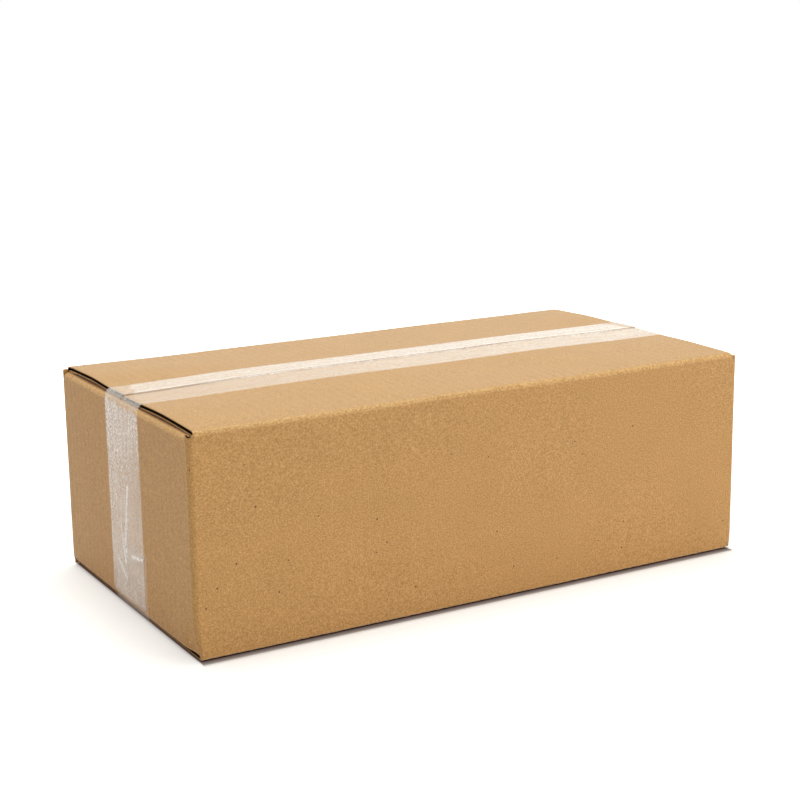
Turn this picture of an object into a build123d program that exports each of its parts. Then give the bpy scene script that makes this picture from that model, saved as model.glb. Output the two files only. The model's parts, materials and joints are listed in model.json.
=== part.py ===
from build123d import *

import os

# A regular slotted carton of single-wall corrugated board, folded shut and taped along both seams.
# The origin is the middle of the underside, +X runs along the carton, +Y to its back, +Z up.

# The carton, as the trade gives it: the clear space inside it.
INSIDE_LENGTH = 350.0
INSIDE_WIDTH = 182.0
INSIDE_HEIGHT = 110.5

# The board: its calliper, one of its two facings, and the inside radius that a score rolls to.
BOARD = 2.8
LINER = 0.6
SCORE_RADIUS = 0.5

# The flaps: the air between two layers, the open seam, and how far the top seam springs up.
LAYER_GAP = 0.1
SEAM = 0.8
SEAM_RISE = 2.5

# The slots between the flaps: how far their sides clear the corner rolls and how deep they end below
# the fold. The one at the top front left ends in a round notch.
SLOT_MARGIN = 0.4
SLOT_DEPTH = 1.5
NOTCH_RADIUS = 1.6

# The open flute along a cut edge.
FLUTE_DEPTH = 5.0

# The glued joint in the back right corner: its tab, the tab's tapered ends and clearance, and how far
# the raw edge stops short of the corner.
TAB_WIDTH = 32.0
TAB_TAPER = 8.0
TAB_CLEARANCE = 1.0
RAW_EDGE_SETBACK = 1.0

# The clear tape: its film, its width, how far each strip lies off the middle, where the tails end, how
# far the film spans free at the end folds, and the ramp where one tail climbs onto the other.
FILM = 0.08
TAPE_WIDTH = 48.0
TOP_TAPE_SHIFT = -2.0
BOTTOM_TAPE_SHIFT = -6.0
TOP_TAIL_FOOT = 7.0
BOTTOM_TAIL_HEAD = 40.0
TAPE_SPAN = 5.0
TAIL_RAMP = 2.0

# Outside faces of the folded board. The carton stands on the film of its bottom tape.
fold = SCORE_RADIUS + BOARD
end_face = INSIDE_LENGTH / 2 + BOARD
side_face = INSIDE_WIDTH / 2 + BOARD
underside = FILM
bottom_tuck = underside + BOARD + LAYER_GAP
top_tuck = bottom_tuck + INSIDE_HEIGHT + 2 * BOARD
top_fold = top_tuck + LAYER_GAP + BOARD

# Cut edges of the sheet. All flaps are as long as half the carton's width.
corner_x = end_face - fold
corner_y = side_face - fold
flap_edge = corner_x - SLOT_MARGIN
tuck_edge = corner_y - SLOT_MARGIN
tuck_end = end_face - side_face
raw_edge = end_face - RAW_EDGE_SETBACK
slot_bottom = underside + SLOT_DEPTH
slot_top = top_fold - SLOT_DEPTH
wall_bottom = underside + fold
wall_top = top_fold - fold
tab_face = side_face - BOARD
tab_fold = tab_face - fold
tab_bottom = bottom_tuck + BOARD + TAB_CLEARANCE
tab_top = top_tuck - BOARD - TAB_CLEARANCE

# A long panel with its two flaps, seen along the carton, and its twin at the back.
with BuildSketch(Plane.YZ) as long_panels:
    with BuildLine():
        FilletPolyline(
            (-SEAM / 2, underside),
            (-side_face, underside),
            (-side_face, top_fold),
            (-SEAM / 2, top_fold + SEAM_RISE),
            radius=fold,
        )
        offset(amount=BOARD, side=Side.RIGHT)
    make_face()
    mirror(about=Plane.YZ)

# The carton: one sheet, scored, slotted, folded and glued.
with BuildPart() as carton:
    # Four panels round the corner scores, from the raw edge at the back right to the tab's score.
    with BuildSketch(Plane.XY.offset(slot_bottom)):
        with BuildLine():
            FilletPolyline(
                (raw_edge, side_face),
                (-end_face, side_face),
                (-end_face, -side_face),
                (end_face, -side_face),
                (end_face, tab_fold),
                radius=fold,
            )
            offset(amount=BOARD, side=Side.RIGHT)
        make_face()
    extrude(amount=slot_top - slot_bottom)

    # The notch, cut through its corner at 45 degrees.
    with BuildSketch(Plane((-end_face, -side_face, slot_top), z_dir=(1, 1, 0))):
        Circle(NOTCH_RADIUS)
    extrude(amount=1.5 * BOARD, both=True, mode=Mode.SUBTRACT)

    # Between the corners each panel stops at its own scores.
    with Locations(*[(x, 0, z) for x in (-end_face, end_face) for z in (bottom_tuck, top_tuck)]):
        Box(2 * fold, 2 * corner_y, 2 * fold, mode=Mode.SUBTRACT)
    with Locations(*[(0, y, z) for y in (-side_face, side_face) for z in (underside, top_fold)]):
        Box(2 * corner_x, 2 * fold, 2 * fold, mode=Mode.SUBTRACT)

    # The long panels, with the flaps that meet in the middle.
    extrude(long_panels.sketch, amount=flap_edge, both=True)

    # End panels with the flaps that tuck in underneath. The tab's score narrows the right one.
    for end, back, board_side in ((-1, tuck_edge, Side.RIGHT), (1, tab_fold, Side.LEFT)):
        with BuildSketch(Plane.XZ.offset(-back)):
            with BuildLine():
                FilletPolyline(
                    (end * tuck_end, bottom_tuck),
                    (end * end_face, bottom_tuck),
                    (end * end_face, top_tuck),
                    (end * tuck_end, top_tuck),
                    radius=fold,
                )
                offset(amount=BOARD, side=board_side)
            make_face()
        extrude(amount=back + tuck_edge)

    # The glued tab behind the raw edge: its roll, then its tapered tongue.
    with BuildSketch(Plane.XY.offset(tab_bottom)):
        with BuildLine():
            FilletPolyline(
                (end_face, 0),
                (end_face, tab_face),
                (tuck_end, tab_face),
                radius=fold,
            )
            offset(amount=BOARD, side=Side.LEFT)
        make_face()
        with Locations((end_face - fold, 0)):
            Rectangle(end_face, 2 * side_face, align=(Align.MAX, Align.CENTER), mode=Mode.SUBTRACT)
    extrude(amount=tab_top - tab_bottom)
    with BuildSketch(Plane.XZ.offset(-tab_face)):
        with BuildLine():
            Polyline(
                (end_face - fold, tab_bottom),
                (end_face - TAB_WIDTH, tab_bottom + TAB_TAPER),
                (end_face - TAB_WIDTH, tab_top - TAB_TAPER),
                (end_face - fold, tab_top),
                close=True,
            )
        make_face()
    extrude(amount=BOARD)

    # The open flute between the facings, along the flaps' cut edges and round their rolls.
    for edge, inwards in ((-flap_edge, FLUTE_DEPTH), (flap_edge, -FLUTE_DEPTH)):
        with BuildSketch(Plane.YZ.offset(edge)):
            add(long_panels.sketch_local)
            offset(amount=-LINER, mode=Mode.REPLACE)
            with Locations((0, (wall_bottom + wall_top) / 2)):
                Rectangle(4 * side_face, wall_top - wall_bottom, mode=Mode.SUBTRACT)
        extrude(amount=inwards, mode=Mode.SUBTRACT)

    # The same open flute, down the raw edge of the glued joint.
    with Locations((raw_edge, side_face - BOARD / 2, (wall_bottom + wall_top) / 2)):
        Box(2 * FLUTE_DEPTH, BOARD - 2 * LINER, wall_top - wall_bottom, mode=Mode.SUBTRACT)
carton.part.label = "carton"

# Where the film leaves the flaps' edges, and where it meets the end panels again.
film_edge = flap_edge + FILM
top_span = top_fold - TAPE_SPAN
bottom_span = underside + TAPE_SPAN

# The bottom tape: half a strip from the middle out, round the flap's edge and up the end, then its twin.
with BuildPart() as bottom_tape:
    with BuildSketch(Plane.XZ.offset(-BOTTOM_TAPE_SHIFT - TAPE_WIDTH / 2)):
        with BuildLine():
            Polyline(
                (0, 0),
                (0, FILM),
                (-film_edge, FILM),
                (-end_face, bottom_span),
                (-end_face, BOTTOM_TAIL_HEAD),
                (-end_face - FILM, BOTTOM_TAIL_HEAD),
                (-end_face - FILM, bottom_span),
                (-film_edge, 0),
                close=True,
            )
        make_face()
    extrude(amount=TAPE_WIDTH)
    mirror(about=Plane.YZ)
bottom_tape.part.label = "bottom_tape"

# The top tape lies on both risen flaps, so its section has a shallow ridge over the seam.
flap_slope = SEAM_RISE / (side_face - SEAM / 2)
ridge = top_fold + flap_slope * side_face
tape_front = TOP_TAPE_SHIFT - TAPE_WIDTH / 2
tape_back = TOP_TAPE_SHIFT + TAPE_WIDTH / 2
front_level = ridge + flap_slope * tape_front
back_level = ridge - flap_slope * tape_back

with BuildPart() as top_tape:
    # From the middle of the carton out past the flaps' edge.
    with BuildSketch(Plane.YZ):
        with BuildLine():
            Polyline(
                (tape_front, front_level),
                (0, ridge),
                (tape_back, back_level),
                (tape_back, back_level + FILM),
                (0, ridge + FILM),
                (tape_front, front_level + FILM),
                close=True,
            )
        make_face()
    extrude(amount=-end_face)

    # The free span over the end panel's roll, twice as high as it has to be.
    span_run = end_face - film_edge
    span_rise = ridge - top_span
    with BuildSketch(Plane.XZ.offset(-tape_back)):
        with BuildLine():
            Polyline(
                (-end_face, top_span),
                (-end_face + 2 * span_run, top_span + 2 * span_rise),
                (-end_face + 2 * span_run - FILM, top_span + 2 * span_rise),
                (-end_face - FILM, top_span),
                close=True,
            )
        make_face()
    extrude(amount=TAPE_WIDTH)

    # Both are cut back to the outside of the film: over each flap, and down the span.
    split(bisect_by=Plane((0, 0, ridge + FILM), z_dir=(0, -flap_slope, 1)), keep=Keep.BOTTOM)
    split(bisect_by=Plane((0, 0, ridge + FILM), z_dir=(0, flap_slope, 1)), keep=Keep.BOTTOM)
    split(bisect_by=Plane((-end_face - FILM, 0, top_span), z_dir=(-span_rise, 0, span_run)), keep=Keep.BOTTOM)

    # The tail down the end panel, which climbs onto the bottom tape's tail.
    with BuildSketch(Plane.XZ.offset(-tape_back)):
        with BuildLine():
            Polyline(
                (-end_face, top_span),
                (-end_face, BOTTOM_TAIL_HEAD + TAIL_RAMP),
                (-end_face - FILM, BOTTOM_TAIL_HEAD),
                (-end_face - FILM, TOP_TAIL_FOOT),
                (-end_face - 2 * FILM, TOP_TAIL_FOOT),
                (-end_face - 2 * FILM, BOTTOM_TAIL_HEAD),
                (-end_face - FILM, BOTTOM_TAIL_HEAD + TAIL_RAMP),
                (-end_face - FILM, top_span),
                close=True,
            )
        make_face()
    extrude(amount=TAPE_WIDTH)
    mirror(about=Plane.YZ)
top_tape.part.label = "top_tape"

os.makedirs("parts", exist_ok=True)
for piece in (carton.part, bottom_tape.part, top_tape.part):
    export_step(piece, f"parts/{piece.label}.step")
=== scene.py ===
import json
import math

import bmesh
import bpy
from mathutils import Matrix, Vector, noise

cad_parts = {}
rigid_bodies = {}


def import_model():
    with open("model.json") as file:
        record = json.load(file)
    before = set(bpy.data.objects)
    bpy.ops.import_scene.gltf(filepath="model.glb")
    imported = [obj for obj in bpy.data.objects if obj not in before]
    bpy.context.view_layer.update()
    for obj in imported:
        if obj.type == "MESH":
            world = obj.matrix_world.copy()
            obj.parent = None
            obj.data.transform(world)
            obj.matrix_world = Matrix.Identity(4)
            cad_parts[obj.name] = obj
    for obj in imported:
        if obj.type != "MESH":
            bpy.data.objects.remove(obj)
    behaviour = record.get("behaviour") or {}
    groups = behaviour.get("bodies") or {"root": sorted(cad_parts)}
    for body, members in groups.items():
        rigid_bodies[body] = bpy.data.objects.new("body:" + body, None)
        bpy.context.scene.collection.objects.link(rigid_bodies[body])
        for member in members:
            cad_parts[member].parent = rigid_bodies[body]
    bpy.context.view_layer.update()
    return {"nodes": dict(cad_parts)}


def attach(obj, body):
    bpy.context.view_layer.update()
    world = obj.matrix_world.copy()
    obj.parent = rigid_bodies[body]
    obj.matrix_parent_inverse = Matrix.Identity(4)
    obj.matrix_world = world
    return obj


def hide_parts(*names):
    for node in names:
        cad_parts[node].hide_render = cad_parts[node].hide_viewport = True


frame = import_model()
scene = bpy.context.scene

# The carton: one sheet of brown single-wall corrugated board. It is slotted and scored flat, folded round
# its scores and glued to a tab, so its folds are rolled and the flaps' cut edges show an open flute.
END_FACE = 0.1778
SIDE_FACE = 0.0938
TOP_FOLD = 0.12198
SEAM_RISE = 0.0025
FOLD = 0.0033
FILM = 0.00008
BOTTOM_TUCK = 0.00298
TOP_TUCK = 0.11908
FLAP_EDGE = 0.1741
TUCK_EDGE = 0.0901
TAB_FOLD = 0.0877
RAW_EDGE = 0.1768
FLUTE_DEPTH = 0.005
SLOT_DEPTH = 0.0015
NOTCH_RADIUS = 0.0016
FLUTES_ALONG = 55
FLUTES_ACROSS = 28
WASHBOARD = 0.00008

carton = bpy.data.objects.new("carton_board", frame["nodes"]["carton"].data.copy())
scene.collection.objects.link(carton)
bpy.ops.object.select_all(action="DESELECT")
bpy.context.view_layer.objects.active = carton
carton.select_set(True)
bpy.ops.object.mode_set(mode="EDIT")
bpy.ops.mesh.select_mode(type="FACE")
bpy.ops.mesh.select_all(action="SELECT")
bpy.ops.mesh.customdata_custom_splitnormals_clear()
bpy.ops.mesh.remove_doubles(threshold=0.000001)


def at_cut_edge(face, depth):
    """Whether a face looks out of a cut edge, from as deep as this."""
    x = face.calc_center_bounds().x
    edges = (depth - FLAP_EDGE, FLAP_EDGE - depth, RAW_EDGE - depth)
    return abs(face.normal.x) > 0.99 and any(abs(x - edge) < 0.0001 for edge in edges)


# Flat faces lose the lines across them, but the cut edges keep theirs, which lead round the open flutes.
bpy.ops.mesh.select_all(action="DESELECT")
sheet = bmesh.from_edit_mesh(carton.data)
for face in sheet.faces:
    if not at_cut_edge(face, 0):
        face.select_set(True)
bpy.ops.mesh.dissolve_limited(angle_limit=math.radians(0.5))

# The outside is told from the inside by a core within the board.
CORE_DEPTH = 0.006
CORE_CLEARANCE = 0.004


def outside(face):
    """Whether a face is the outside of the closed carton: well clear of the core, and facing away."""
    middle = face.calc_center_bounds()
    core = Vector((
        min(max(middle.x, CORE_DEPTH - END_FACE), END_FACE - CORE_DEPTH),
        min(max(middle.y, CORE_DEPTH - SIDE_FACE), SIDE_FACE - CORE_DEPTH),
        min(max(middle.z, CORE_DEPTH), TOP_FOLD - CORE_DEPTH),
    ))
    out = middle - core
    return out.length > CORE_CLEARANCE and out.dot(face.normal) > 0.7 * out.length


# The inside of the open flutes, told apart before the sheet is divided. These faces and the round notch at
# the front left corner's top take a near-black material: the medium's darker brown with the shade inside
# them painted in.
bpy.ops.mesh.select_all(action="DESELECT")
sheet = bmesh.from_edit_mesh(carton.data)
for face in sheet.faces:
    if at_cut_edge(face, FLUTE_DEPTH):
        face.select_set(True)
bpy.ops.mesh.select_more(use_face_step=False)
# The notch at the front left corner's top takes the same painted shade.
corner = Vector((-END_FACE, -SIDE_FACE, TOP_FOLD - SLOT_DEPTH))
inwards = Vector((1, 1, 0)).normalized()
sheet = bmesh.from_edit_mesh(carton.data)
for face in sheet.faces:
    arm = face.calc_center_bounds() - corner
    arm -= inwards * arm.dot(inwards)
    if 0.8 * NOTCH_RADIUS < arm.length < 1.02 * NOTCH_RADIUS and arm.dot(face.normal) < -0.7 * arm.length:
        face.select_set(True)
carton.data.materials.clear()
carton.data.materials.append(bpy.data.materials.new("kraft_board"))
carton.data.materials.append(bpy.data.materials.new("open_flute_painted_shade"))
carton.active_material_index = 1
bpy.ops.object.material_slot_assign()

bpy.ops.object.mode_set(mode="OBJECT")
sheet = bmesh.new()
sheet.from_mesh(carton.data)


def slice_faces(faces, place, normal):
    """Cuts faces along a plane. Returns those in front of it and those behind it."""
    edges = {edge for face in faces for edge in face.edges}
    verts = {vert for face in faces for vert in face.verts}
    cut = bmesh.ops.bisect_plane(
        sheet, geom=[*faces, *edges, *verts], dist=0.000002, plane_co=place, plane_no=normal
    )
    pieces = [part for part in cut["geom"] if isinstance(part, bmesh.types.BMFace)]
    ahead = [face for face in pieces if (face.calc_center_median() - place).dot(normal) > 0]
    behind = [face for face in pieces if (face.calc_center_median() - place).dot(normal) <= 0]
    return ahead, behind


def slice_along(faces, axis, stations):
    """Cuts faces into strips at stations along an axis."""
    normal = Vector([float(k == axis) for k in range(3)])
    for station in stations:
        faces = slice_faces(faces, normal * station, normal)[0]


# The rolls come as a few flats each. They are cut finer along their length and set out onto their arcs.
ARC_CUTS = 12
rolls = [
    (0, Vector((0, side * (SIDE_FACE - FOLD), level)), Vector((0, side, up)))
    for side in (-1, 1)
    for level, up in ((FILM + FOLD, -1), (TOP_FOLD - FOLD + SEAM_RISE * FOLD / SIDE_FACE, 1))
] + [
    (1, Vector((end * (END_FACE - FOLD), 0, level)), Vector((end, 0, up)))
    for end in (-1, 1)
    for level, up in ((BOTTOM_TUCK + FOLD, -1), (TOP_TUCK - FOLD, 1))
] + [
    (2, Vector((end * (END_FACE - FOLD), side * (SIDE_FACE - FOLD), 0)), Vector((end, side, 0)))
    for end in (-1, 1)
    for side in (-1, 1)
]
for axis, middle, outward in rolls:
    first, second = [Vector([outward[k] * (k == j) for k in range(3)]) for j in range(3) if j != axis]
    faces = []
    for face in sheet.faces:
        arm = face.calc_center_median() - middle
        arm[axis] = 0
        near = 0.9 * FOLD < arm.length < 1.01 * FOLD and arm.dot(first) > 0 and arm.dot(second) > 0
        if near and outside(face) and arm.normalized().dot(face.normal) > 0.9:
            faces.append(face)
    for step in range(1, ARC_CUTS):
        angle = math.pi / 2 * step / ARC_CUTS
        tangent = second * math.cos(angle) - first * math.sin(angle)
        ahead, behind = slice_faces(faces, middle, tangent)
        faces = ahead + behind
    for vertex in {vertex for face in faces for vertex in face.verts}:
        arm = vertex.co - middle
        arm[axis] = 0
        vertex.co += arm.normalized() * FOLD - arm

# The outside is cut at its corners, so that each panel, flap and roll is a plain rectangle.
for axis, stations in (
    (0, (-FLAP_EDGE, FLAP_EDGE)),
    (1, (-TUCK_EDGE, TAB_FOLD, TUCK_EDGE)),
    (2, (FILM + FOLD, BOTTOM_TUCK + FOLD, TOP_TUCK - FOLD, TOP_FOLD - FOLD)),
):
    normal = Vector([float(k == axis) for k in range(3)])
    for station in stations:
        slice_faces([face for face in sheet.faces if outside(face)], normal * station, normal)

# Walls and bottom flaps are cut in rows. The top flaps are cut inside and out, to bow as one board.
ROWS = 12
slice_along(
    [face for face in sheet.faces if outside(face) and abs(face.normal.z) < 0.1],
    2, [TOP_FOLD * row / ROWS for row in range(1, ROWS)],
)
rows_across = [TUCK_EDGE * row / ROWS for row in range(1 - ROWS, ROWS)]
slice_along([face for face in sheet.faces if outside(face) and face.normal.z < -0.95], 1, rows_across)
slice_along(
    [face for face in sheet.faces if face.calc_center_bounds().z > TOP_FOLD - FOLD], 1, rows_across
)

# Then the outside is cut across its flutes, six times to a flute.
CUTS = 6
slice_along(
    [
        face for face in sheet.faces
        if outside(face) and abs(face.normal.x) < 0.1 and abs(face.calc_center_bounds().x) < FLAP_EDGE
    ],
    0, [FLAP_EDGE * (2 * cut / (CUTS * FLUTES_ALONG) - 1) for cut in range(1, CUTS * FLUTES_ALONG)],
)
for end in (-1, 1):
    slice_along(
        [
            face for face in sheet.faces
            if outside(face) and abs(face.normal.y) < 0.1 and end * face.calc_center_bounds().x > FLAP_EDGE
        ],
        1, [TUCK_EDGE * (2 * cut / (CUTS * FLUTES_ACROSS) - 1) for cut in range(1, CUTS * FLUTES_ACROSS)],
    )


def smoothstep(low, high, value):
    """A smooth change from 0 at low to 1 at high."""
    t = min(max((value - low) / (high - low), 0.0), 1.0)
    return t * t * (3 - 2 * t)


# How the top flaps spring: how far from the ends, how deep the tape holds them, and how they bow beside it.
SPRING_REACH = 0.06
HELD_DEPTH = 0.00178
HELD_SLOPE = 0.0267
BACK_BOW = 0.0006
FRONT_BOW = 0.0002
SEAM_STEP = 0.0004


def flap_spring(x, y):
    """How far the top flaps stand off their slope."""
    near_left = math.exp(-((x + FLAP_EDGE) / SPRING_REACH) ** 2)
    near_right = 0.6 * math.exp(-((x - FLAP_EDGE) / SPRING_REACH) ** 2)
    across = abs(y)
    held = HELD_SLOPE * across - HELD_DEPTH
    bow = BACK_BOW if y > 0 else FRONT_BOW
    free = smoothstep(0.022, 0.06, across)
    rolled = smoothstep(SIDE_FACE, 0.086, across)
    step = math.copysign(SEAM_STEP, y) * smoothstep(0.03, 0.0, across)
    return (near_left + near_right) * (held + (bow - held) * free) * rolled + step


def flute_dip(x, y, z):
    """How far the facing sinks between two flutes, which run across the carton's girth."""
    if abs(x) > FLAP_EDGE and abs(y) > TUCK_EDGE:
        return 0.0
    if abs(x) < FLAP_EDGE + 0.00001:
        turn = FLUTES_ALONG * (x + FLAP_EDGE) / (2 * FLAP_EDGE)
    else:
        turn = FLUTES_ACROSS * (y + TUCK_EDGE) / (2 * TUCK_EDGE)
    uneven = 1 + 0.6 * noise.noise(Vector((turn / 3, x + y, z * 9)))
    return WASHBOARD * uneven * (0.5 + 0.5 * math.cos(2 * math.pi * turn))


# The board's unevenness is drawn from a set seed, so that each run gives the same carton.
WARP = 0.0004
noise.seed_set(5)


def warp(place):
    """How far the board has gone out of true at a place. It lies flat on the floor."""
    away = WARP * noise.noise_vector(place * 14)
    away.z *= smoothstep(0.0, 0.03, place.z)
    return away


# How hard the corners' lower ends are pressed in.
FRONT_LEFT_PRESSED = 1.0
OTHERS_PRESSED = 0.2


def tuck_under(place):
    """How far a corner's lower end is pulled in to the bottom flaps' cut edge, and down."""
    pressed = FRONT_LEFT_PRESSED if place.x < 0 and place.y < 0 else OTHERS_PRESSED
    low = pressed * smoothstep(0.006 + 0.01 * pressed, 0.002, place.z)
    low *= smoothstep(0.076, TUCK_EDGE, abs(place.y))
    beyond = max(abs(place.x) - FLAP_EDGE, 0.0)
    down = 0.3 * low * min(beyond, END_FACE - FLAP_EDGE)
    return Vector((-math.copysign(0.92 * low * beyond, place.x), 0, -down))


# Each point of the outside sinks between the flutes and ripples over the crushed scores. The lid springs,
# the corners' lower ends tuck under, and the whole sheet is a little out of true.
scuff_and_highlight = sheet.verts.layers.float.new("scuff_and_highlight")
skin = {}
for face in sheet.faces:
    if outside(face):
        for vertex in face.verts:
            skin.setdefault(vertex, []).append(face.normal.copy())
for vertex in sheet.verts:
    place = vertex.co.copy()
    if vertex in skin:
        out = sum(skin[vertex], Vector()).normalized()
        level = max(abs(out.x), abs(out.y), abs(out.z))
        rolled = smoothstep(1.0, 0.93, level)
        # Where the pale flecks go: the rolled folds that run level, for scuffing and for a painted
        # highlight where they catch the light.
        vertex[scuff_and_highlight] = rolled * smoothstep(0.1, 0.3, abs(out.z))
        ripple = 0.0001 * noise.noise(place * 260) * rolled
        vertex.co -= out * (flute_dip(*place) + ripple)
    if place.z > TOP_FOLD - 0.0025 and abs(place.x) < FLAP_EDGE + 0.0001:
        vertex.co.z += flap_spring(place.x, place.y)
    vertex.co += tuck_under(place) + warp(place)
sheet.to_mesh(carton.data)
sheet.free()
bpy.ops.object.shade_smooth_by_angle(angle=math.radians(35))

kraft = carton.data.materials[0]
kraft.use_nodes = True
nodes = kraft.node_tree.nodes
links = kraft.node_tree.links
kraft_face = nodes["Principled BSDF"]
kraft_face.inputs["Roughness"].default_value = 0.62
kraft_face.inputs["IOR"].default_value = 1.5
kraft_face.inputs["Sheen Weight"].default_value = 0.5
kraft_face.inputs["Sheen Roughness"].default_value = 0.26
place_on_board = nodes.new("ShaderNodeTexCoord")

# The pulp: a fine fleck, broader clouding, and a few dark and light shives.
fleck = nodes.new("ShaderNodeTexNoise")
fleck.inputs["Scale"].default_value = 1150
fleck.inputs["Detail"].default_value = 4
fleck.inputs["Roughness"].default_value = 0.75
clouding = nodes.new("ShaderNodeTexNoise")
clouding.inputs["Scale"].default_value = 48
clouding.inputs["Detail"].default_value = 4
fleck_tone = nodes.new("ShaderNodeValToRGB")
fleck_tone.color_ramp.elements[0].position = 0.33
fleck_tone.color_ramp.elements[0].color = (0.352, 0.163, 0.027, 1)
fleck_tone.color_ramp.elements[1].position = 0.67
fleck_tone.color_ramp.elements[1].color = (0.685, 0.38, 0.137, 1)
cloud_tone = nodes.new("ShaderNodeValToRGB")
cloud_tone.color_ramp.elements[0].position = 0.3
cloud_tone.color_ramp.elements[0].color = (0.97, 0.97, 0.96, 1)
cloud_tone.color_ramp.elements[1].position = 0.7
cloud_tone.color_ramp.elements[1].color = (1.02, 1.02, 1.02, 1)
clouded = nodes.new("ShaderNodeMix")
clouded.data_type = "RGBA"
clouded.blend_type = "MULTIPLY"
clouded.inputs["Factor"].default_value = 1.0
links.new(place_on_board.outputs["Object"], fleck.inputs["Vector"])
links.new(place_on_board.outputs["Object"], clouding.inputs["Vector"])
links.new(fleck.outputs["Fac"], fleck_tone.inputs["Fac"])
links.new(clouding.outputs["Fac"], cloud_tone.inputs["Fac"])
links.new(fleck_tone.outputs["Color"], clouded.inputs["A"])
links.new(cloud_tone.outputs["Color"], clouded.inputs["B"])
shives = nodes.new("ShaderNodeTexVoronoi")
shives.inputs["Scale"].default_value = 170
shives.inputs["Randomness"].default_value = 1.0
shive_size = nodes.new("ShaderNodeMath")
shive_size.operation = "LESS_THAN"
shive_size.inputs[1].default_value = 0.085
links.new(place_on_board.outputs["Object"], shives.inputs["Vector"])
links.new(shives.outputs["Distance"], shive_size.inputs[0])
shive_kind = nodes.new("ShaderNodeValToRGB")
shive_kind.color_ramp.interpolation = "CONSTANT"
shive_kind.color_ramp.elements[0].color = (0.09, 0.035, 0.012, 1)
shive_kind.color_ramp.elements[1].position = 0.5
shive_kind.color_ramp.elements[1].color = (0.85, 0.6, 0.33, 1)
split_random = nodes.new("ShaderNodeSeparateColor")
links.new(shives.outputs["Color"], split_random.inputs["Color"])
links.new(split_random.outputs["Green"], shive_kind.inputs["Fac"])
few = nodes.new("ShaderNodeMath")
few.operation = "GREATER_THAN"
few.inputs[1].default_value = 0.86
links.new(split_random.outputs["Red"], few.inputs[0])
shive_mask = nodes.new("ShaderNodeMath")
shive_mask.operation = "MULTIPLY"
links.new(shive_size.outputs["Value"], shive_mask.inputs[0])
links.new(few.outputs["Value"], shive_mask.inputs[1])
speckled = nodes.new("ShaderNodeMix")
speckled.data_type = "RGBA"
links.new(shive_mask.outputs["Value"], speckled.inputs["Factor"])
links.new(clouded.outputs["Result"], speckled.inputs["A"])
links.new(shive_kind.outputs["Color"], speckled.inputs["B"])

# Along the level folds the facing is stretched and scuffed, which leaves pale flecks. The flecks are also a
# painted highlight where these folds catch the light; the upright corners have none.
folded = nodes.new("ShaderNodeAttribute")
folded.attribute_name = "scuff_and_highlight"
worn_and_lit = nodes.new("ShaderNodeTexNoise")
worn_and_lit.inputs["Scale"].default_value = 900
worn_and_lit.inputs["Detail"].default_value = 3
worn_and_lit_spots = nodes.new("ShaderNodeMapRange")
worn_and_lit_spots.inputs["From Min"].default_value = 0.42
worn_and_lit_spots.inputs["From Max"].default_value = 0.62
worn_and_lit_spots.inputs["To Max"].default_value = 0.5
scuffed_and_lit = nodes.new("ShaderNodeMath")
scuffed_and_lit.operation = "MULTIPLY"
pale = nodes.new("ShaderNodeMix")
pale.data_type = "RGBA"
pale.inputs["B"].default_value = (0.82, 0.53, 0.24, 1)
links.new(place_on_board.outputs["Object"], worn_and_lit.inputs["Vector"])
links.new(worn_and_lit.outputs["Fac"], worn_and_lit_spots.inputs["Value"])
links.new(worn_and_lit_spots.outputs["Result"], scuffed_and_lit.inputs[0])
links.new(folded.outputs["Fac"], scuffed_and_lit.inputs[1])
links.new(scuffed_and_lit.outputs["Value"], pale.inputs["Factor"])
links.new(speckled.outputs["Result"], pale.inputs["A"])
links.new(pale.outputs["Result"], kraft_face.inputs["Base Color"])
paper_grain = nodes.new("ShaderNodeBump")
paper_grain.inputs["Strength"].default_value = 0.5
paper_grain.inputs["Distance"].default_value = 0.0002
links.new(fleck.outputs["Fac"], paper_grain.inputs["Height"])
links.new(paper_grain.outputs["Normal"], kraft_face.inputs["Normal"])

flute = carton.data.materials[1]
flute.use_nodes = True
flute_face = flute.node_tree.nodes["Principled BSDF"]
# Near black: the medium's darker brown with painted shade for the inside of the channel and the notch.
flute_face.inputs["Base Color"].default_value = (0.025, 0.013, 0.007, 1)
flute_face.inputs["Roughness"].default_value = 0.95
flute_face.inputs["Specular IOR Level"].default_value = 0.1
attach(carton, "root")
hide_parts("carton")

# The bottom tape: a strip of clear packing film along the bottom seam, pressed up both ends. It lies flat
# under the carton, which stands on it, and bridges the crevice between the bottom flaps and the ends.
TAPE_WIDTH = 0.048
TAPE_BED = 0.0001
BOTTOM_TAPE_MIDDLE = -0.006
BOTTOM_TAIL_HEAD = 0.040
SPAN = 0.006


def film_strip(name, length, middle, steps_along, steps_across, place):
    """A strip of film: a flat grid as it comes off the roll, laid along its seam and given thickness."""
    bpy.ops.object.select_all(action="DESELECT")
    bpy.ops.mesh.primitive_grid_add(x_subdivisions=steps_along, y_subdivisions=steps_across, size=1)
    strip = bpy.context.object
    strip.name = name
    haze = strip.data.attributes.new("haze", "FLOAT", "POINT")
    for index, vertex in enumerate(strip.data.vertices):
        along = vertex.co.x * length
        across = middle + vertex.co.y * TAPE_WIDTH
        flat, haze.data[index].value = place(along, across)
        vertex.co = flat + warp(flat)
    thickness = strip.modifiers.new("thickness", "SOLIDIFY")
    thickness.thickness = FILM / 2
    thickness.offset = 0
    bpy.ops.object.modifier_apply(modifier="thickness")
    bpy.ops.object.shade_smooth_by_angle(angle=math.radians(40))
    return strip


def end_bed(y, z):
    """How far an end panel's facing stands in from its flat face under the tape."""
    return -flute_dip(END_FACE, y, z)


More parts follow.
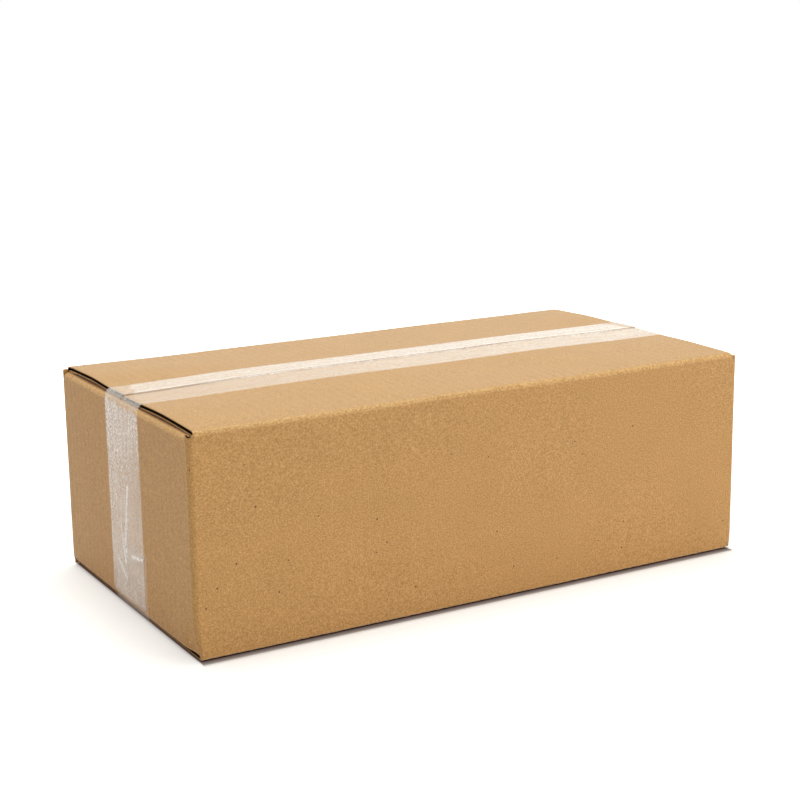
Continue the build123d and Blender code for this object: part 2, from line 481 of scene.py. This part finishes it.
def bottom_place(along, across):
    """Where a point of the bottom tape lies, and how cloudy the film is there."""
    side = -1 if along < 0 else 1
    far = abs(along)
    bend = math.pi / 2 * SPAN
    out = END_FACE + TAPE_BED
    if far < FLAP_EDGE:
        return Vector((along, across, FILM - TAPE_BED)), 0.2
    if far < FLAP_EDGE + bend:
        angle = (far - FLAP_EDGE) / bend * math.pi / 2
        x = FLAP_EDGE + (out - FLAP_EDGE) * math.sin(angle)
        z = SPAN - (SPAN - FILM + TAPE_BED) * math.cos(angle)
        return Vector((side * x, across, z)), 0.12
    z = SPAN + far - FLAP_EDGE - bend
    return Vector((side * (out + end_bed(across, z)), across, z)), 0.08


bottom_length = 2 * (FLAP_EDGE + math.pi / 2 * SPAN + BOTTOM_TAIL_HEAD - SPAN)
bottom_tape = film_strip("bottom_tape_film", bottom_length, BOTTOM_TAPE_MIDDLE, 420, 32, bottom_place)

film = bpy.data.materials.new("clear_tape")
film.use_nodes = True
nodes = film.node_tree.nodes
links = film.node_tree.links
film_face = nodes["Principled BSDF"]
film_face.inputs["Base Color"].default_value = (1.0, 0.925, 0.88, 1)
film_face.inputs["Roughness"].default_value = 0.28
film_face.inputs["IOR"].default_value = 1.5
place_on_film = nodes.new("ShaderNodeTexCoord")

# Trapped air clouds the film: a mottle, drawn out a little along the strip where it was rubbed down. It is
# stronger on the ends than on the lid.
split_place = nodes.new("ShaderNodeSeparateXYZ")
below_lid = nodes.new("ShaderNodeMath")
below_lid.operation = "LESS_THAN"
below_lid.inputs[1].default_value = 0.119
contrast = nodes.new("ShaderNodeMath")
contrast.operation = "MULTIPLY_ADD"
contrast.inputs[1].default_value = 2.4
contrast.inputs[2].default_value = 1.8
bubbles = nodes.new("ShaderNodeTexNoise")
bubbles.inputs["Scale"].default_value = 680
bubbles.inputs["Detail"].default_value = 4
bubbles.inputs["Roughness"].default_value = 0.65
stretched = nodes.new("ShaderNodeMapping")
stretched.inputs["Scale"].default_value = (70, 520, 70)
streaks = nodes.new("ShaderNodeTexNoise")
streaks.inputs["Scale"].default_value = 1.0
streaks.inputs["Detail"].default_value = 2
uneven = nodes.new("ShaderNodeMath")
uneven.operation = "SUBTRACT"
uneven.inputs[1].default_value = 0.5
mottle = nodes.new("ShaderNodeMath")
mottle.operation = "MULTIPLY_ADD"
mottle.inputs[2].default_value = 0.5
rubbed = nodes.new("ShaderNodeMath")
rubbed.operation = "ADD"
painted = nodes.new("ShaderNodeAttribute")
painted.attribute_name = "haze"
milky = nodes.new("ShaderNodeMath")
milky.operation = "MULTIPLY"
milky.use_clamp = True
links.new(place_on_film.outputs["Object"], bubbles.inputs["Vector"])
links.new(place_on_film.outputs["Object"], stretched.inputs["Vector"])
links.new(stretched.outputs["Vector"], streaks.inputs["Vector"])
links.new(place_on_film.outputs["Object"], split_place.inputs["Vector"])
links.new(split_place.outputs["Z"], below_lid.inputs[0])
links.new(below_lid.outputs["Value"], contrast.inputs[0])
links.new(bubbles.outputs["Fac"], uneven.inputs[0])
links.new(uneven.outputs["Value"], mottle.inputs[0])
links.new(contrast.outputs["Value"], mottle.inputs[1])
links.new(mottle.outputs["Value"], rubbed.inputs[0])
links.new(streaks.outputs["Fac"], rubbed.inputs[1])
links.new(rubbed.outputs["Value"], milky.inputs[0])
links.new(painted.outputs["Fac"], milky.inputs[1])

# Over the open seam of the lid nothing backs the film, so it stays clear there.
beside_seam = nodes.new("ShaderNodeMath")
beside_seam.operation = "ABSOLUTE"
backed = nodes.new("ShaderNodeMapRange")
backed.inputs["From Min"].default_value = 0.0002
backed.inputs["From Max"].default_value = 0.0007
backed.inputs["To Min"].default_value = 0.45
held = nodes.new("ShaderNodeMath")
held.operation = "MAXIMUM"
clouded_film = nodes.new("ShaderNodeMath")
clouded_film.operation = "MULTIPLY"
links.new(split_place.outputs["Y"], beside_seam.inputs[0])
links.new(beside_seam.outputs["Value"], backed.inputs["Value"])
links.new(backed.outputs["Result"], held.inputs[0])
links.new(below_lid.outputs["Value"], held.inputs[1])
links.new(milky.outputs["Value"], clouded_film.inputs[0])
links.new(held.outputs["Value"], clouded_film.inputs[1])

# Light on its way to the board under it passes the film.
rays = nodes.new("ShaderNodeLightPath")
on_its_way = nodes.new("ShaderNodeMath")
on_its_way.operation = "MAXIMUM"
kept = nodes.new("ShaderNodeMath")
kept.operation = "SUBTRACT"
kept.inputs[0].default_value = 1.0
film_alpha = nodes.new("ShaderNodeMath")
film_alpha.operation = "MULTIPLY"
links.new(rays.outputs["Is Shadow Ray"], on_its_way.inputs[0])
links.new(rays.outputs["Is Diffuse Ray"], on_its_way.inputs[1])
links.new(on_its_way.outputs["Value"], kept.inputs[1])
links.new(clouded_film.outputs["Value"], film_alpha.inputs[0])
links.new(kept.outputs["Value"], film_alpha.inputs[1])
links.new(film_alpha.outputs["Value"], film_face.inputs["Alpha"])
bottom_tape.data.materials.append(film)
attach(bottom_tape, "root")
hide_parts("bottom_tape")

# The top tape: the same film along the top seam, pulled down over the flaps' edges and pressed onto both
# ends, over the bottom tape's tails. It is cloudy with trapped air, and creased where it was rubbed down.
TOP_TAPE_MIDDLE = -0.002
TOP_TAIL_FOOT = 0.007
TOP_SPAN_FOOT = 0.116
TOP_BEND = 0.0078
CREASES = (
    ((-0.0067, 0.0726), (0.0003, 0.0413), (-0.0007, 0.0329)),
    ((0.0059, 0.0491), (0.0011, 0.0278)),
    ((0.0115, 0.0268), (0.0001, 0.0181)),
    ((-0.0093, 0.0336), (-0.0261, 0.0361)),
)
CREASE_HEIGHT = 0.0005
CREASE_WIDTH = 0.0007


def crease(y, z):
    """How far a crease lifts the film off an end panel."""
    here = Vector((y, z))
    lift = 0.0
    for line in CREASES:
        for start, end in zip(line, line[1:]):
            a, b = Vector(start), Vector(end)
            t = min(max((here - a).dot(b - a) / (b - a).length_squared, 0.0), 1.0)
            gap = (here - a.lerp(b, t)).length
            lift = max(lift, math.exp(-(gap / CREASE_WIDTH) ** 2))
    return lift


def end_haze(y, z):
    """How cloudy the film is on an end panel. It is clearer low down, and in spots where it comes free."""
    across = smoothstep(-0.022, 0.018, y)
    top = 0.43 + 0.1 * across
    middle = 0.25 + 0.11 * across
    low = 0.26 + 0.08 * across
    foot = 0.3 + 0.04 * across
    if z > 0.075:
        level = middle + (top - middle) * smoothstep(0.075, 0.112, z)
    elif z > 0.04:
        level = low + (middle - low) * smoothstep(0.04, 0.075, z)
    else:
        level = foot + (low - foot) * smoothstep(0.008, 0.04, z)
    start = 0.1185 + 0.0015 * noise.noise(Vector((y * 340, 0.7, 0)))
    loose = max(
        math.exp(-((y - spot) / 0.0013) ** 2 - ((z - 0.1178) / 0.0017) ** 2)
        for spot in (0.0147, 0.001, -0.0051, -0.0125, -0.0242)
    )
    return level * (0.45 + 0.55 * smoothstep(start + 0.001, start - 0.003, z)) * (1 - 0.9 * loose)


def lid_haze(x, y):
    """How cloudy the film is on the lid: less on the front flap and where it leaves the flaps' edges, and
    whiter along the back flap's crest beside the seam, which is a painted highlight.
    """
    along = (x + FLAP_EDGE) / (2 * FLAP_EDGE)
    level = 0.31 + 0.17 * along if y > 0 else 0.17 + 0.18 * along
    # A painted highlight: whiter film along the back flap's crest, just behind the seam.
    ridge_highlight = 1 + 0.6 * math.exp(-((y - 0.0012) / 0.0012) ** 2)
    lifted = 0.006 * smoothstep(-0.004, 0.004, y) + 0.004 * smoothstep(0.012, 0.022, y)
    inner = FLAP_EDGE - lifted + 0.002 * noise.noise(Vector((y * 160, 4.2, 0)))
    return level * ridge_highlight * (0.5 + 0.5 * smoothstep(inner, inner - 0.003, abs(x)))


def lid(x, y):
    """The level of the top flaps' facing."""
    slope = TOP_FOLD + SEAM_RISE * (SIDE_FACE - abs(y)) / SIDE_FACE
    return slope + flap_spring(x, y) - flute_dip(x, y, TOP_FOLD)


def top_place(along, across):
    """Where a point of the top tape lies, and how cloudy the film is there."""
    side = -1 if along < 0 else 1
    far = abs(along)
    out = END_FACE + TAPE_BED
    if far < FLAP_EDGE:
        return Vector((along, across, lid(along, across) + TAPE_BED)), lid_haze(along, across)
    if far < FLAP_EDGE + TOP_BEND:
        angle = (far - FLAP_EDGE) / TOP_BEND * math.pi / 2
        edge = lid(side * FLAP_EDGE, across) + TAPE_BED
        x = FLAP_EDGE + (out - FLAP_EDGE) * math.sin(angle)
        z = TOP_SPAN_FOOT + (edge - TOP_SPAN_FOOT) * math.cos(angle)
        return Vector((side * x, across, z)), max(0.1, end_haze(across * -side, z))
    z = TOP_SPAN_FOOT - (far - FLAP_EDGE - TOP_BEND)
    over = FILM * smoothstep(BOTTOM_TAIL_HEAD + 0.002, BOTTOM_TAIL_HEAD, z)
    lift = crease(across * -side, z)
    x = out + over + end_bed(across, z) + CREASE_HEIGHT * lift
    return Vector((side * x, across, z)), end_haze(across * -side, z) + 1.1 * lift


top_length = 2 * (FLAP_EDGE + TOP_BEND + TOP_SPAN_FOOT - TOP_TAIL_FOOT)
top_tape = film_strip("top_tape_film", top_length, TOP_TAPE_MIDDLE, 720, 48, top_place)
top_tape.data.materials.append(film)
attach(top_tape, "root")
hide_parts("top_tape")

# The floor: a white studio ground that runs out of the picture. The camera sees it a little brighter than
# it is lit, and plain white further off, so that the carton stands in its own pale shadow.
# These set the painted contact shadow: how fast it fades at the ends and at the sides, and how far inside
# the side faces it begins.
END_SHADE = 100
SIDE_SHADE = 23
ROLLED_IN = 0.0022

bpy.ops.object.select_all(action="DESELECT")
bpy.ops.mesh.primitive_plane_add(size=12)
floor = bpy.context.object
floor.name = "studio_floor"
ground = bpy.data.materials.new("studio_white")
ground.use_nodes = True
nodes = ground.node_tree.nodes
links = ground.node_tree.links
ground_face = nodes["Principled BSDF"]
ground_face.inputs["Roughness"].default_value = 1.0
ground_face.inputs["Specular IOR Level"].default_value = 0.0
ground_face.inputs["Emission Color"].default_value = (1, 1, 1, 1)
place_on_floor = nodes.new("ShaderNodeTexCoord")
from_middle = nodes.new("ShaderNodeVectorMath")
from_middle.operation = "ABSOLUTE"
clear_of = nodes.new("ShaderNodeVectorMath")
clear_of.operation = "MULTIPLY_ADD"
clear_of.inputs[1].default_value = (END_SHADE, SIDE_SHADE, 0)
clear_of.inputs[2].default_value = (-END_SHADE * FLAP_EDGE, -SIDE_SHADE * (SIDE_FACE - ROLLED_IN), 0)
sides = nodes.new("ShaderNodeSeparateXYZ")
clearance = nodes.new("ShaderNodeMath")
clearance.operation = "MAXIMUM"
links.new(place_on_floor.outputs["Object"], from_middle.inputs[0])
links.new(from_middle.outputs["Vector"], clear_of.inputs[0])
links.new(clear_of.outputs["Vector"], sides.inputs["Vector"])
links.new(sides.outputs["X"], clearance.inputs[0])
links.new(sides.outputs["Y"], clearance.inputs[1])

# The dark line where the carton meets the floor, and the narrow shade along it: a painted shadow, darkening
# the floor's colour as the camera sees it by nearness to the footprint.
painted_contact_shadow = nodes.new("ShaderNodeValToRGB")
painted_contact_shadow.color_ramp.elements[0].position = 0.0
painted_contact_shadow.color_ramp.elements[0].color = (0.02, 0.015, 0.015, 1)
painted_contact_shadow.color_ramp.elements[1].position = 0.16
painted_contact_shadow.color_ramp.elements[1].color = (0.9, 0.9, 0.9, 1)
narrow_painted_shadow = painted_contact_shadow.color_ramp.elements.new(0.03)
narrow_painted_shadow.color = (0.24, 0.2, 0.21, 1)
edge_of_painted_shadow = painted_contact_shadow.color_ramp.elements.new(0.12)
edge_of_painted_shadow.color = (0.45, 0.42, 0.43, 1)
camera_sees_painted_shadow = nodes.new("ShaderNodeMix")
camera_sees_painted_shadow.data_type = "RGBA"
camera_sees_painted_shadow.inputs["A"].default_value = (0.9, 0.9, 0.9, 1)
rays = nodes.new("ShaderNodeLightPath")
links.new(clearance.outputs["Value"], painted_contact_shadow.inputs["Fac"])
links.new(rays.outputs["Is Camera Ray"], camera_sees_painted_shadow.inputs["Factor"])
links.new(painted_contact_shadow.outputs["Color"], camera_sees_painted_shadow.inputs["B"])
links.new(camera_sees_painted_shadow.outputs["Result"], ground_face.inputs["Base Color"])

reach = nodes.new("ShaderNodeVectorMath")
reach.operation = "LENGTH"
far_glow = nodes.new("ShaderNodeMapRange")
far_glow.inputs["From Min"].default_value = 0.26
far_glow.inputs["From Max"].default_value = 0.45
far_glow.inputs["To Min"].default_value = 0.36
far_glow.inputs["To Max"].default_value = 1.0
# Near the footprint the camera's glow is held back, so that the painted contact shadow stays dark.
near_glow = nodes.new("ShaderNodeMapRange")
near_glow.inputs["From Min"].default_value = 0.1
near_glow.inputs["From Max"].default_value = 0.2
glow = nodes.new("ShaderNodeMath")
glow.operation = "MULTIPLY"
seen = nodes.new("ShaderNodeMath")
seen.operation = "MULTIPLY"
links.new(place_on_floor.outputs["Object"], reach.inputs[0])
links.new(reach.outputs["Value"], far_glow.inputs["Value"])
links.new(clearance.outputs["Value"], near_glow.inputs["Value"])
links.new(far_glow.outputs["Result"], glow.inputs[0])
links.new(near_glow.outputs["Result"], glow.inputs[1])
links.new(glow.outputs["Value"], seen.inputs[0])
links.new(rays.outputs["Is Camera Ray"], seen.inputs[1])
links.new(seen.outputs["Value"], ground_face.inputs["Emission Strength"])
floor.data.materials.append(ground)


# The light: a soft box overhead, one low in front on the right and a weak one behind on the left, in a
# white room that lights the carton less than it shows.
def soft_box(name, place, size, power, colour):
    """A square lamp that faces the carton."""
    bpy.ops.object.light_add(type="AREA", location=place)
    lamp = bpy.context.object
    lamp.name = name
    lamp.data.shape = "SQUARE"
    lamp.data.size = size
    lamp.data.energy = power
    lamp.data.color = colour
    lamp.rotation_euler = (Vector(place) - Vector((0, 0, 0.06))).to_track_quat("Z", "Y").to_euler()


soft_box("overhead", (0.1, 0.2, 1.6), 1.0, 20.4, (0.92, 1.0, 0.93))
soft_box("front_right", (1.0, -1.55, 0.33), 0.6, 12.0, (1.0, 0.95, 0.92))
soft_box("back_left", (-1.6, 0.9, 0.5), 0.9, 2.5, (1.0, 0.7, 0.66))

world = bpy.data.worlds.new("white_room")
scene.world = world
world.use_nodes = True
nodes = world.node_tree.nodes
links = world.node_tree.links
ambient = nodes["Background"]
ambient.inputs["Color"].default_value = (1, 1, 1, 1)
ambient.inputs["Strength"].default_value = 0.4
backdrop = nodes.new("ShaderNodeBackground")
backdrop.inputs["Color"].default_value = (1, 1, 1, 1)
backdrop.inputs["Strength"].default_value = 1.0
rays = nodes.new("ShaderNodeLightPath")
camera_or_gloss = nodes.new("ShaderNodeMath")
camera_or_gloss.operation = "MAXIMUM"
or_through = nodes.new("ShaderNodeMath")
or_through.operation = "MAXIMUM"
room_mix = nodes.new("ShaderNodeMixShader")
links.new(rays.outputs["Is Camera Ray"], camera_or_gloss.inputs[0])
links.new(rays.outputs["Is Glossy Ray"], camera_or_gloss.inputs[1])
links.new(camera_or_gloss.outputs["Value"], or_through.inputs[0])
links.new(rays.outputs["Is Transmission Ray"], or_through.inputs[1])
links.new(or_through.outputs["Value"], room_mix.inputs["Fac"])
links.new(ambient.outputs["Background"], room_mix.inputs[1])
links.new(backdrop.outputs["Background"], room_mix.inputs[2])
links.new(room_mix.outputs["Shader"], nodes["World Output"].inputs["Surface"])

# The camera: in front of the carton, to its left and a little above.
bpy.ops.object.camera_add(location=(-0.48414, -0.83602, 0.32260))
camera = bpy.context.object
camera.rotation_euler = (math.pi / 2 - math.radians(13.11), 0, math.radians(-29.98))
camera.rotation_euler.rotate_axis("Z", math.radians(-0.7225))
camera.data.sensor_width = 36.0
camera.data.lens = 74.77
scene.camera = camera
scene.view_settings.view_transform = "Standard"
